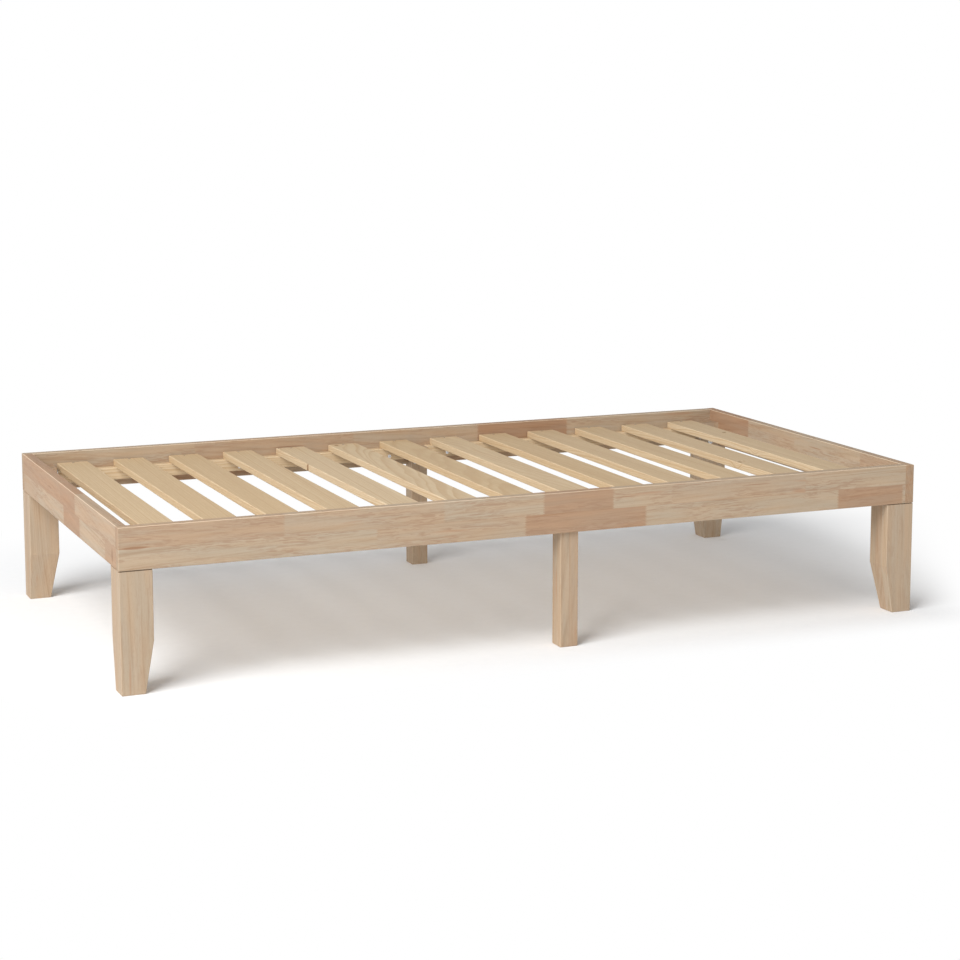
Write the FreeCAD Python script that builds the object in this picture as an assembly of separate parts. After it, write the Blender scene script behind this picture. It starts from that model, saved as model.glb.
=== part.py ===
import FreeCAD, Part
import os

# A low slatted bed frame for a twin mattress, in millimetres.
# +X runs along the bed to its head end, +Y to the left as seen from the foot, +Z up.
# The origin is on the floor, under the middle of the frame.

# Overall size
frame_length = 2020.0
frame_width = 1042.0
frame_height = 374.0

# Rails that make the rim round the mattress
rail_height = 97.0
rail_thickness = 24.0
rail_edge_radius = 2.5
rail_end_radius = 1.0

# Corner legs, square above and drawn in on both inner faces towards the floor
leg_width = 75.0
leg_foot_width = 54.0
leg_taper_height = 119.0
leg_edge_radius = 2.0
foot_chamfer = 1.5
shadow_gap = 1.5
shadow_gap_depth = 6.0
post_drop = 3.0

# Middle legs, one under each side rail
mid_leg_width = 46.0
mid_leg_setback = 10.0
mid_leg_offset = 66.0
tongue_drop = 1.0

# Slats, and the ledgers along the side rails that carry them
deck_recess = 28.0
slat_count = 13
slat_width = 80.0
slat_thickness = 18.0
slat_side_gap = 2.0
slat_post_gap = 10.0
board_chamfer = 1.5
ledger_height = 32.0
ledger_thickness = 25.0
ledger_end_gap = 2.0

# Bolts from inside, through the legs, into threaded inserts in the rails
bolt_diameter = 6.0
bolt_head_diameter = 12.0
bolt_head_height = 3.5
bolt_head_rim = 1.5
bolt_engagement = 10.0
bolt_play = 0.3
end_bolt_inset = 12.0
washer_diameter = 16.0
washer_thickness = 1.5
insert_diameter = 10.0
insert_length = 13.0
insert_end_gap = 0.5
fit_clearance = 0.1

# Countersunk screws that hold the slats and the ledgers
slat_screw_diameter = 4.0
slat_screw_head = 8.0
slat_screw_bite = 14.0
ledger_screw_diameter = 4.5
ledger_screw_head = 9.0
ledger_screw_bite = 15.0
ledger_screw_margin = 60.0
ledger_screws_per_ledger = 5

# Places that follow from the sizes above
half_length = frame_length / 2
half_width = frame_width / 2
inner_half_length = half_length - rail_thickness
inner_half_width = half_width - rail_thickness
rail_underside = frame_height - rail_height
deck_top = frame_height - deck_recess
slat_underside = deck_top - slat_thickness
post_width = leg_width - rail_thickness
post_top = deck_top - post_drop
tongue_top = slat_underside - tongue_drop
tongue_depth = mid_leg_setback + mid_leg_width - rail_thickness
slat_field_half = half_length - leg_width - slat_post_gap
slat_pitch = (2 * slat_field_half - slat_width) / (slat_count - 1)
ledger_middle_y = inner_half_width - ledger_thickness / 2
ledger_screw_z = slat_underside - ledger_height * 2 / 3

X_AXIS = FreeCAD.Vector(1, 0, 0)
Y_AXIS = FreeCAD.Vector(0, 1, 0)
Z_AXIS = FreeCAD.Vector(0, 0, 1)
ORIGIN = FreeCAD.Vector(0, 0, 0)


def block(low, high):
    """A plain box between two opposite corners."""
    size = FreeCAD.Vector(*high) - FreeCAD.Vector(*low)
    return Part.makeBox(size.x, size.y, size.z, FreeCAD.Vector(*low))


def edges_along(shape, axis):
    """The straight edges that run along an axis."""
    lines = [edge for edge in shape.Edges if edge.Curve.TypeId == "Part::GeomLine"]
    return [edge for edge in lines if abs(edge.tangentAt(edge.FirstParameter).dot(axis)) > 0.99]


def edges_in_plane(shape, axis, height):
    """The edges that lie wholly at one height along an axis."""
    tolerance = 1e-4

    def lies_in_plane(edge):
        box = edge.BoundBox
        low = FreeCAD.Vector(box.XMin, box.YMin, box.ZMin).dot(axis)
        high = FreeCAD.Vector(box.XMax, box.YMax, box.ZMax).dot(axis)
        return abs(low - height) < tolerance and abs(high - height) < tolerance

    return [edge for edge in shape.Edges if lies_in_plane(edge)]


def turned(profile):
    """A solid of revolution about +Z from points (radius, height)."""
    points = [FreeCAD.Vector(radius, 0, height) for radius, height in profile]
    face = Part.Face(Part.makePolygon(points + points[:1]))
    return face.revolve(ORIGIN, Z_AXIS, 360)


def placed(shape, point, direction):
    """The shape with its own +Z turned to a direction and its origin moved to a point."""
    copy = shape.copy()
    copy.Placement = FreeCAD.Placement(FreeCAD.Vector(*point), FreeCAD.Rotation(Z_AXIS, direction))
    return copy


def mirrored(shape, flip_x, flip_y):
    """The shape carried from the foot right corner to another corner or side."""
    if flip_x:
        shape = shape.mirror(ORIGIN, X_AXIS)
    if flip_y:
        shape = shape.mirror(ORIGIN, Y_AXIS)
    return shape


def save(name, shapes):
    """Writes one node, made of one solid or of several separate ones."""
    solid = shapes[0] if len(shapes) == 1 else Part.makeCompound(shapes)
    solid.exportStep(os.path.join("parts", name + ".step"))


# Rails

def rail(low, high, axis, open_ends):
    """A rail with rounded long edges, and slightly rounded ends where they show."""
    board = block(low, high)
    board = board.makeFillet(rail_edge_radius, edges_along(board, axis))
    for place in open_ends:
        board = board.makeFillet(rail_end_radius, edges_in_plane(board, axis, place))
    return board


def right_side_rail():
    """Laps over the foot rail's end, and stops against the head rail."""
    low = (-half_length, -half_width, rail_underside)
    high = (inner_half_length, -inner_half_width, frame_height)
    return rail(low, high, X_AXIS, [-half_length])


def foot_rail():
    """Stands between the two side rails."""
    low = (-half_length, -inner_half_width, rail_underside)
    high = (-inner_half_length, inner_half_width, frame_height)
    return rail(low, high, Y_AXIS, [])


def head_rail():
    """Runs across the ends of both side rails."""
    low = (inner_half_length, -half_width, rail_underside)
    high = (half_length, half_width, frame_height)
    return rail(low, high, Y_AXIS, [-half_width, half_width])


# Bolted joints, drawn with the rail's inner face at height 0 and the bolt's head above it

def bolt(grip):
    """A button head bolt that holds a wooden thickness called the grip."""
    shank = bolt_diameter / 2
    head = bolt_head_diameter / 2
    seat = grip + washer_thickness
    top = seat + bolt_head_height
    crown = head - (bolt_head_height - bolt_head_rim)
    profile = [(0, -bolt_engagement), (shank, -bolt_engagement), (shank, seat), (head, seat),
               (head, seat + bolt_head_rim), (crown, top), (0, top)]
    return turned(profile)


def washer(grip):
    """A flat washer under the bolt's head."""
    bore = bolt_diameter / 2 + fit_clearance
    rim = washer_diameter / 2
    top = grip + washer_thickness
    return turned([(bore, grip), (rim, grip), (rim, top), (bore, top)])


def insert():
    """A threaded insert, flush with the rail's inner face."""
    bore = bolt_diameter / 2 + fit_clearance
    rim = insert_diameter / 2
    return turned([(bore, -insert_length), (rim, -insert_length), (rim, 0), (bore, 0)])


def insert_pocket():
    """The blind hole in a rail that takes an insert."""
    depth = insert_length + insert_end_gap
    return Part.makeCylinder(insert_diameter / 2 + fit_clearance, depth, FreeCAD.Vector(0, 0, -depth))


def bolt_bore(grip):
    """The hole through a leg for a bolt."""
    return Part.makeCylinder(bolt_diameter / 2 + bolt_play, grip)


# Countersunk screws, drawn with the head's flat top at height 0 and the point below it

def screw(length, diameter, head_diameter, clearance=0.0):
    """A countersunk screw, or with a clearance the hole that it sits in."""
    shank = diameter / 2 + clearance
    head = head_diameter / 2 + clearance
    neck = shank - head
    tip = -length - clearance
    profile = [(0, 0), (head, 0), (shank, neck), (shank, tip + shank), (0, tip)]
    return turned(profile)


def slat_screw(clearance=0.0):
    """A screw that goes down through a slat into a ledger."""
    return screw(slat_thickness + slat_screw_bite, slat_screw_diameter, slat_screw_head, clearance)


def ledger_screw(clearance=0.0):
    """A screw that goes across through a ledger into a side rail."""
    return screw(ledger_thickness + ledger_screw_bite, ledger_screw_diameter, ledger_screw_head, clearance)


# Leg stock

def rounded_square(left, front, width, height):
    """A level square outline with eased corners."""
    near = leg_edge_radius
    far = width - leg_edge_radius
    arcs = []
    for number, (x, y) in enumerate([(far, near), (far, far), (near, far), (near, near)]):
        middle = FreeCAD.Vector(left + x, front + y, height)
        start = 90 * number - 90
        arcs.append(Part.makeCircle(leg_edge_radius, middle, Z_AXIS, start, start + 90))
    edges = []
    for arc, following in zip(arcs, arcs[1:] + arcs[:1]):
        edges += [arc, Part.makeLine(arc.Vertexes[-1].Point, following.Vertexes[0].Point)]
    return Part.Wire(edges)


def leg_stock(outline, top):
    """A straight upright bar that starts from an outline."""
    height = top - outline.BoundBox.ZMin
    return Part.Face(outline).extrude(Z_AXIS * height)


# Corner leg at the foot right corner, and the bolts through its post

def corner_bolt_heights():
    """Heights of the four bolts up the post, turn about for the side rail and the end rail."""
    step = (post_top - rail_underside) / 5
    heights = [rail_underside + step * count for count in range(1, 5)]
    return heights[0::2], heights[1::2]


def side_bolt_places():
    """Where the corner bolts meet the side rail's inner face."""
    x = -inner_half_length + post_width / 2
    return [(x, -inner_half_width, z) for z in corner_bolt_heights()[0]]


def end_bolt_places():
    """Where the corner bolts meet the end rail's inner face, clear of the ledger beside the post."""
    y = leg_width - half_width - end_bolt_inset
    return [(-inner_half_length, y, z) for z in corner_bolt_heights()[1]]


def corner_leg_blank():
    """Square stock for a whole leg, drawn in towards the floor."""
    foot = rounded_square(-half_length, -half_width, leg_foot_width, 0)
    shank = rounded_square(-half_length, -half_width, leg_width, leg_taper_height)
    taper = Part.makeLoft([foot, shank], True, True)
    leg = taper.fuse(leg_stock(shank, post_top)).removeSplitter()
    return leg.makeChamfer(foot_chamfer, edges_in_plane(leg, Z_AXIS, 0))


def corner_leg():
    """A leg whose shoulder carries both rails, with a post that stands inside their corner."""
    corner = (-half_length, -half_width, rail_underside)
    inner_x = leg_width - half_length
    inner_y = leg_width - half_width
    side_rabbet = block(corner, (inner_x, -inner_half_width, post_top))
    end_rabbet = block(corner, (-inner_half_length, inner_y, post_top))
    joint_line = block((-half_length, -half_width, rail_underside - shadow_gap),
                       (inner_x, shadow_gap_depth - half_width, rail_underside))
    bores = [placed(bolt_bore(post_width), place, Y_AXIS) for place in side_bolt_places()]
    bores += [placed(bolt_bore(post_width), place, X_AXIS) for place in end_bolt_places()]
    return corner_leg_blank().cut([side_rabbet, end_rabbet, joint_line] + bores)


# Middle leg under the right side rail, and the bolts through its tongue

def mid_bolt_places():
    """Where the two bolts meet the side rail's inner face, staggered across the grain."""
    step = (tongue_top - rail_underside) / 4
    across = mid_leg_width / 4
    return [(mid_leg_offset - across, -inner_half_width, rail_underside + step),
            (mid_leg_offset + across, -inner_half_width, rail_underside + 2 * step)]


def mid_leg(slat_holes):
    """A straight leg, notched under the rail, with a tongue that rises behind it."""
    left = mid_leg_offset - mid_leg_width / 2
    front = mid_leg_setback - half_width
    leg = leg_stock(rounded_square(left, front, mid_leg_width, 0), tongue_top)
    leg = leg.makeChamfer(foot_chamfer, edges_in_plane(leg, Z_AXIS, 0))
    notch = block((left, front, rail_underside), (left + mid_leg_width, -inner_half_width, tongue_top))
    bores = [placed(bolt_bore(tongue_depth), place, Y_AXIS) for place in mid_bolt_places()]
    return leg.cut([notch] + bores + slat_holes)


# Slats and ledgers

def slat_places():
    """Middles of the slats along the bed, spread evenly between the corner posts."""
    first = slat_width / 2 - slat_field_half
    return [first + slat_pitch * count for count in range(slat_count)]


def chamfered_board(low, high):
    """A sawn board with its edges broken."""
    board = block(low, high)
    return board.makeChamfer(board_chamfer, board.Edges)


def slat(x):
    """One slat, which spans both ledgers, with a screw hole at each end."""
    end = inner_half_width - slat_side_gap
    board = chamfered_board((x - slat_width / 2, -end, slat_underside), (x + slat_width / 2, end, deck_top))
    places = [(x, side * ledger_middle_y, deck_top) for side in (-1, 1)]
    return board.cut([placed(slat_screw(fit_clearance), place, Z_AXIS) for place in places])


def right_slat_screws(clearance=0.0):
    """Screws, or their holes, through the right ends of all the slats."""
    places = [(x, -ledger_middle_y, deck_top) for x in slat_places()]
    return [placed(slat_screw(clearance), place, Z_AXIS) for place in places]


def ledger_spans():
    """Both lengths of a ledger along the bed: from foot post to middle leg, and from there to head post."""
    outer_end = half_length - leg_width - washer_thickness - bolt_head_height - ledger_end_gap
    inner_end = mid_leg_width / 2 + ledger_end_gap
    return {"foot": (-outer_end, mid_leg_offset - inner_end), "head": (mid_leg_offset + inner_end, outer_end)}


def right_ledger_screws(span, clearance=0.0):
    """Screws, or their holes, along one length of the right ledger."""
    start, end = span
    step = (end - start - 2 * ledger_screw_margin) / (ledger_screws_per_ledger - 1)
    inner_face = ledger_thickness - inner_half_width
    places = [(start + ledger_screw_margin + step * count, inner_face, ledger_screw_z)
              for count in range(ledger_screws_per_ledger)]
    return [placed(ledger_screw(clearance), place, Y_AXIS) for place in places]


def right_ledger(span, slat_holes):
    """One length of the right ledger, drilled for its own screws and for the slats'."""
    low = (span[0], -inner_half_width, slat_underside - ledger_height)
    high = (span[1], ledger_thickness - inner_half_width, slat_underside)
    return chamfered_board(low, high).cut(right_ledger_screws(span, fit_clearance) + slat_holes)


# The whole frame

def bolt_sets(places, direction, grip):
    """Bolts, washers, inserts and insert pockets for one joint."""
    return {"bolts": [placed(bolt(grip), place, direction) for place in places],
            "washers": [placed(washer(grip), place, direction) for place in places],
            "inserts": [placed(insert(), place, direction) for place in places],
            "pockets": [placed(insert_pocket(), place, direction) for place in places]}


def copies(shapes, flips):
    """Every shape, mirrored to every corner or side in the list."""
    return [mirrored(shape, flip_x, flip_y) for flip_x, flip_y in flips for shape in shapes]


def main():
    os.makedirs("parts", exist_ok=True)
    corners = {"foot_right": (False, False), "foot_left": (False, True),
               "head_right": (True, False), "head_left": (True, True)}
    sides = {"right": (False, False), "left": (False, True)}

    side_joint = bolt_sets(side_bolt_places(), Y_AXIS, post_width)
    end_joint = bolt_sets(end_bolt_places(), X_AXIS, post_width)
    mid_joint = bolt_sets(mid_bolt_places(), Y_AXIS, tongue_depth)
    slat_holes = right_slat_screws(fit_clearance)
    spans = ledger_spans()

    right_ends = [corners["foot_right"], corners["head_right"]]
    side_pockets = copies(side_joint["pockets"], right_ends) + mid_joint["pockets"]
    for span in spans.values():
        side_pockets += right_ledger_screws(span, fit_clearance)
    side_rail = right_side_rail().cut(side_pockets)
    middle_leg = mid_leg(slat_holes)
    for side, flip in sides.items():
        save("side_rail_" + side, [mirrored(side_rail, *flip)])
        save("mid_leg_" + side, [mirrored(middle_leg, *flip)])
        for end, span in spans.items():
            save("ledger_" + side + "_" + end, [mirrored(right_ledger(span, slat_holes), *flip)])
    save("foot_rail", [foot_rail().cut(copies(end_joint["pockets"], sides.values()))])
    save("head_rail", [head_rail().cut(copies(end_joint["pockets"], [(True, False), (True, True)]))])

    leg = corner_leg()
    for corner, flip in corners.items():
        save("leg_" + corner, [mirrored(leg, *flip)])
    for number, x in enumerate(slat_places(), start=1):
        save("slat_%02d" % number, [slat(x)])

    save("side_rail_bolts", copies(side_joint["bolts"], corners.values()))
    save("end_rail_bolts", copies(end_joint["bolts"], corners.values()))
    save("mid_leg_bolts", copies(mid_joint["bolts"], sides.values()))
    for piece in ("washers", "inserts"):
        corner_pieces = copies(side_joint[piece] + end_joint[piece], corners.values())
        save("bolt_" + piece, corner_pieces + copies(mid_joint[piece], sides.values()))
    ledger_screws = [item for span in spans.values() for item in right_ledger_screws(span)]
    save("ledger_screws", copies(ledger_screws, sides.values()))
    save("slat_screws", copies(right_slat_screws(), sides.values()))


main()
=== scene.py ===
import math

import bmesh
import bpy
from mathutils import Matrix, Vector


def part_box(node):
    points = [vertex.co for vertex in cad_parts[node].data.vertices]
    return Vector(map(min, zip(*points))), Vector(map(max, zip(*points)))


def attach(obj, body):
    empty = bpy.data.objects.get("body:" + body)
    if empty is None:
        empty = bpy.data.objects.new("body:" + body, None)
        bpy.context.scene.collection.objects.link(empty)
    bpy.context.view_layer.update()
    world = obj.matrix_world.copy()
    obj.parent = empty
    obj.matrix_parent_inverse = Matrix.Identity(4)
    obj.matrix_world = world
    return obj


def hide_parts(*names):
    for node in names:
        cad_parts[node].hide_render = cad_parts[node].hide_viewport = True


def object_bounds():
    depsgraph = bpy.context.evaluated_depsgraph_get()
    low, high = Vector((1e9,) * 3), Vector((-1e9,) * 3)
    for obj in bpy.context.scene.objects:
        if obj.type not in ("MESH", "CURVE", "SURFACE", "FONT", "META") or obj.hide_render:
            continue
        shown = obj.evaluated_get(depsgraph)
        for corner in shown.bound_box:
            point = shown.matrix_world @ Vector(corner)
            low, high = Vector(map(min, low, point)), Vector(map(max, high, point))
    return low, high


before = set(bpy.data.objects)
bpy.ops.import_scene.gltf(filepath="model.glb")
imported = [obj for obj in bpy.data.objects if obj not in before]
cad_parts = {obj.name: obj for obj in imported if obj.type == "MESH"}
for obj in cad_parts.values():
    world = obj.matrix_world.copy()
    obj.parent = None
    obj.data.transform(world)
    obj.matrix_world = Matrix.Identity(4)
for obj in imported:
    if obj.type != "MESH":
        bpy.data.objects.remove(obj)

cad_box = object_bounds()

# All sizes are in metres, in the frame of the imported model: +X to the head end, +Z up. Colours are linear
# red, green and blue. A grain is how often a pattern repeats in a metre, along the wood and across it, and a
# fade is the pair of values between which something comes or goes.

# Tones of rubberwood staves, from the palest to the reddest, and of the dark mineral streaks in them
CREAM, STRAW, TAN, ROSE, RUSSET, UMBER = 0.05, 0.20, 0.35, 0.50, 0.65, 1.00
STAVE_COLOURS = [
    (CREAM, (0.474, 0.378, 0.276)),
    (STRAW, (0.468, 0.363, 0.261)),
    (TAN, (0.457, 0.340, 0.239)),
    (ROSE, (0.425, 0.288, 0.192)),
    (RUSSET, (0.410, 0.266, 0.173)),
    (UMBER, (0.265, 0.152, 0.088)),
]
STAVE_TONE_STEP = 0.004

# Staves of each rail, lower row first: where each one starts along the rail, and its tone
NEAR_RAIL_STAVES = [
    [(-1.010, CREAM), (-0.420, STRAW), (-0.053, ROSE), (0.259, CREAM), (0.785, ROSE),
     (0.973, CREAM)],
    [(-1.010, TAN), (-0.640, STRAW), (-0.260, CREAM), (-0.010, ROSE), (0.174, CREAM), (0.330, STRAW),
     (0.690, CREAM)],
]
FAR_RAIL_STAVES = [
    [(-1.010, STRAW), (-0.730, ROSE), (-0.390, CREAM), (0.060, TAN), (0.440, STRAW), (0.810, CREAM)],
    [(-1.010, CREAM), (-0.560, TAN), (-0.120, STRAW), (0.250, RUSSET), (0.520, CREAM)],
]
FOOT_RAIL_STAVES = [
    [(-0.497, ROSE), (-0.398, STRAW), (-0.147, RUSSET), (0.025, STRAW), (0.320, TAN)],
    [(-0.497, TAN), (-0.100, RUSSET), (0.060, ROSE)],
]
HEAD_RAIL_STAVES = [
    [(-0.521, TAN), (-0.240, STRAW), (0.110, CREAM), (0.380, ROSE)],
    [(-0.521, TAN), (-0.310, CREAM), (0.020, STRAW), (0.270, RUSSET)],
]

# Mineral streaks in a rail: where the middle is along the rail and in height, half of its length and half of
# its width
NEAR_RAIL_STREAKS = [
    (-0.974, 0.3265, 0.042, 0.0052),
    (0.205, 0.3520, 0.040, 0.0016),
    (0.560, 0.3560, 0.050, 0.0014),
]
FAR_RAIL_STREAKS = [(-0.300, 0.3480, 0.060, 0.0020)]
FOOT_RAIL_STREAKS = [(0.180, 0.3440, 0.030, 0.0022), (-0.464, 0.3020, 0.009, 0.0260)]
HEAD_RAIL_STREAKS = [(-0.090, 0.3500, 0.045, 0.0020)]

# How dark the mineral streaks and the thin glue lines between staves are, and where they fade out
STREAK_STRENGTH = 0.75
STREAK_FADE = (0.35, 1.0)
GLUE_LINE_STRENGTH = 0.45
GLUE_LINE_FADE = (0.0002, 0.0006)

# Finger joints between staves, and the thickness of the staves in the legs
FINGER_LENGTH = 0.006
FINGER_PITCH = 0.004
LEG_STAVE = 0.025
MID_LEG_STAVE = 0.023

# How growth bands shade rubberwood, how it wavers between cool and warm, and its other colours
RUBBERWOOD_SHADES = [(0.30, (0.800, 0.715, 0.640)), (0.48, (0.945, 0.925, 0.900)), (0.66, (1.0, 1.0, 1.0))]
RUBBERWOOD_TINGES = [(0.36, (0.978, 1.000, 1.028)), (0.64, (1.036, 0.994, 0.960))]
RUBBERWOOD_FLECK = (0.335, 0.198, 0.124)
RUBBERWOOD_MARK = (0.430, 0.250, 0.150)
RUBBERWOOD_VESSEL = (0.330, 0.205, 0.120)
RUBBERWOOD_END = (0.780, 0.680, 0.600)
# Pale colour of the painted highlight on rounded edges
RUBBERWOOD_EDGE_HIGHLIGHT = (0.860, 0.720, 0.540)

# Figure of rubberwood: how far its grain sways and the heart of the tree leans, its growth bands in a metre,
# and how fine, how common and how strong each mark in it is
RUBBERWOOD_SWAY = 0.018
RUBBERWOOD_RIPPLE = 0.010
RUBBERWOOD_LEAN = 0.045
RUBBERWOOD_BANDS = 230.0
RUBBERWOOD_GRAIN = {
    "streaks": (3.6, 110.0),
    "fibres": (45.0, 1300.0),
    "vessels": (95.0, 2100.0),
    "marks": (5.0, 70.0),
    "ripples": (24.0, 30.0),
    "flecks": (26.0, 340.0),
    "flame": (5.0, 34.0),
    "warmth": (6.0, 55.0),
}
RUBBERWOOD_FADE = {
    "vessels": (0.60, 0.72),
    "marks": (0.70, 0.80),
    "flecks": (0.46, 0.62),
    "flame": (0.40, 0.60),
}
RUBBERWOOD_SHARE = {
    "growth": 0.45,
    "streaks": 0.55,
    "fibres": 0.22,
    "marks": 0.55,
    "vessels": 0.45,
    "end": 0.55,
}
RUBBERWOOD_ROUGHNESS = {"plain": 0.48, "streaks": 0.14, "vessels": 0.18}
RUBBERWOOD_RELIEF = {"fibres": 0.5, "vessels": -0.7}

# Colours of the bare pine in the slats and ledgers
PINE_EARLY = (0.660, 0.525, 0.355)
PINE_LATE = (0.530, 0.362, 0.202)
PINE_AGED = (0.610, 0.460, 0.285)
PINE_KNOT = (0.250, 0.125, 0.055)
PINE_END = (0.800, 0.690, 0.580)
# Pale colour of the painted highlight on the rounded edges of pine
PINE_EDGE_HIGHLIGHT = (0.860, 0.720, 0.520)
PINE_SHADES = [(0.30, (0.860, 0.820, 0.780)), (0.62, (1.0, 1.0, 1.0))]

# Figure of pine: its grain as for rubberwood, its rings and how uneven they are, and its knots, with how far
# the rings swell round them
PINE_SWAY = 0.020
PINE_LEAN = 0.035
PINE_RING = 0.0042
PINE_UNEVEN = 2.5
PINE_UNEVEN_BANDS = 90.0
PINE_GRAIN = {"knots": (4.2, 5.2), "fibres": (30.0, 900.0), "streaks": (2.0, 60.0)}
PINE_FADE = {
    "swell": (0.0, 0.16),
    "knots": (0.022, 0.036),
    "late": (0.35, 0.90),
    "ring": (0.92, 1.0),
    "streaks": (0.25, 0.75),
}
PINE_SHARE = {"fibres": 0.6, "streaks": 0.4, "knots": 0.85, "end": 0.6}
PINE_LATE_SHARE = (0.35, 0.85)
PINE_ROUGHNESS = {"plain": 0.56, "fibres": 0.16, "late": -0.12}
PINE_RELIEF = {"fibres": 0.6, "late": 0.35}
KNOT_CHANCE = 0.34
KNOT_SWELL = 0.012

# Where in the tree a stave or board is cut from at random, the seeds for boards, and how all grain sways
CUT_SPREAD = (7.0, 0.16, 0.10)
CUT_START = (0.0, -0.08, 0.03)
SWAY_GRAIN = (2.2, 9.0)
SLAT_SEED = 3.5
LEDGER_SEED = 8.5

# Which faces are end grain and which are rounded edges, by how squarely they look along an axis, and how
# strongly a rounded edge gets a painted highlight, by how far it looks up
END_FADE = (0.75, 0.95)
ARRIS_FADE = (0.75, 0.96)
UPWARD_HIGHLIGHT_FADE = (-0.20, 0.50)
LEAST_EDGE_HIGHLIGHT = 0.25

# Lacquered and bare surfaces, how strongly their rounded edges get a painted highlight, and the depth of the
# open grain in both
GRAIN_DEPTH = 0.0004
WOOD_SPECULAR = 0.09
LACQUER_ROUGHNESS = 0.40
RAIL_FINISH = {"sheen": 0.04, "bump": 0.22, "paler_edges": 0.60, "Flecks": 0.52}
LEG_FINISH = {"sheen": 0.04, "bump": 0.22, "paler_edges": 0.30, "Flecks": 0.22}
BARE_FINISH = {"sheen": 0.0, "bump": 0.30, "paler_edges": 0.20}

# Plated metal: clouds and grit in it, in repeats per metre, and its colours
PLATE_CLOUDS = 320.0
PLATE_GRIT = 2600.0
PLATE_TONES = (0.32, 0.66)
PLATE_ROUGHNESS = {"clouds": 0.22, "grit": 0.30}
PLATE_BUMP = 0.15
PLATE_DEPTH = 0.0001
ZINC_PALE = (0.700, 0.705, 0.710)
ZINC_DULL = (0.520, 0.530, 0.545)
YELLOW_ZINC_PALE = (0.720, 0.640, 0.440)
YELLOW_ZINC_DULL = (0.560, 0.470, 0.300)

# Fasteners. The ridge of a thread and the point of a screw are shares of the shank's diameter, and a seat,
# where a shank starts inside the head, is a share of the head's height. A screw's lap is how far inside the
# shank its point starts, and how much thinner it is there.
SLAT_SCREW_SHANK = 0.004
LEDGER_SCREW_SHANK = 0.0045
SCREW_RIDGE = 0.12
SCREW_POINT = 0.9
SCREW_TIP = 0.0001
SCREW_SEAT = 0.5
SCREW_LAP = 0.00005
SCREW_RECESS_SPAN = 0.0046
SCREW_RECESS_WIDTH = 0.0011
SCREW_RECESS_DEPTH = 0.0012
BOLT_SHANK = 0.006
BOLT_RIDGE = 0.07
BOLT_HEAD_HEIGHT = 0.0035
BOLT_HEAD_RIM = 0.0015
BOLT_DOME_RADIUS = 0.008
BOLT_SOCKET_WIDTH = 0.004
BOLT_SOCKET_DEPTH = 0.0022
BOLT_THREAD_LENGTH = 0.018
BOLT_SEAT = 0.9
THREAD_PITCH = 0.0018
WASHER_BORE = 0.0062
WASHER_EDGE = 0.0003
INSERT_THREAD_DEPTH = 0.0009
BORE_OVERSHOOT = 0.001

# How many flat sides stand for the round of each shape, and the steps of a thread in one turn
DISC_SIDES = 48
SCREW_HEAD_SIDES = 32
SCREW_SHANK_SIDES = 16
BOLT_SHANK_SIDES = 20
INSERT_SIDES = 32
THREAD_SIDES = 4
THREAD_STEPS = 12

# The angle past which an edge stays sharp, how close two corners are taken as one, and the seeds that turn
# fasteners at random
CREASE_ANGLE = math.radians(32)
SOLID_MERGE = 1e-6
BOLT_SEED = 2
WASHER_SEED = 5
INSERT_SEED = 6

# Studio: a pale floor that turns into a white glow over a distance from the bed, short on its right side and
# longer on its left, which paints out the bed's shadow there, a backdrop that dims with height, one large
# lamp and the camera
WHITE = (1.0, 1.0, 1.0)
FLOOR_SIZE = 80.0
FLOOR_SPECKLE = [(0.3, (0.935, 0.950, 0.970)), (0.7, (0.955, 0.970, 0.990))]
FLOOR_GRAIN = (40.0, 40.0)
FLOOR_ROUGHNESS = 0.85
FLOOR_SPECULAR = 0.10
FLOOR_GLOW_REACH = (0.20, 0.80)
BACKDROP_FADE = (0.12, 0.45)
CEILING_STRENGTH = 0.34
KEY_PLACE = (-4.85, -3.3, 5.0)
KEY_TARGET = (0.0, 0.0, 0.2)
KEY_SIZE = 4.4
KEY_POWER = 580.0
KEY_COLOUR = (1.0, 0.995, 0.985)
CAMERA_PLACE = (-2.1000, -5.1491, 1.3364)
CAMERA_YAW = 22.932
CAMERA_PITCH = 8.391
CAMERA_LENS = 83.37
CAMERA_SHIFT = (-0.01, -0.08)
CAMERA_SENSOR = 36.0
CAMERA_REACH = 200.0


# Node trees

def opaque(colour):
    """A colour with nothing of what lies behind it."""
    return (*colour, 1.0)


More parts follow.
